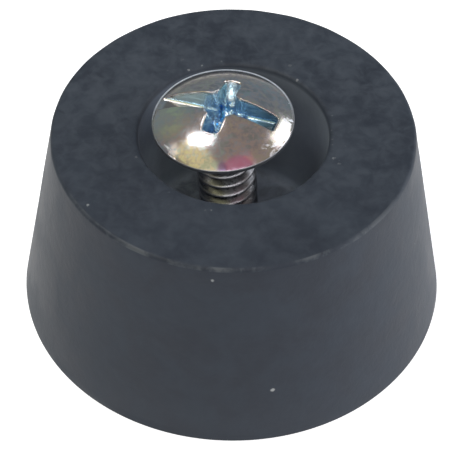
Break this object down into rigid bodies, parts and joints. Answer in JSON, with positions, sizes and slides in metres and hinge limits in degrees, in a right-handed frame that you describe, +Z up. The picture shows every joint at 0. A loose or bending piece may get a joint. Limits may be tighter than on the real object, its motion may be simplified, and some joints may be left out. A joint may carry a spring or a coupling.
{
  "type": "rubber foot",
  "caption": "Tapered round black rubber foot with a deep screw recess, and a loose zinc-plated truss-head machine screw standing in it.",
  "frame": {"origin": "centre of the wide mounting face, at the level the foot stands on", "axes": "+Z up through the recess towards the narrow face; the screw leans towards -X; -Y is the front"},
  "size_m": [0.0348, 0.0348, 0.0208],
  "materials": {
    "black_rubber": "matte",
    "zinc_plated_steel": "gloss"
  },
  "bodies": {
    "root": {"rubber_foot": "black_rubber", "mounting_screw": "zinc_plated_steel"}
  },
  "joints": []
}
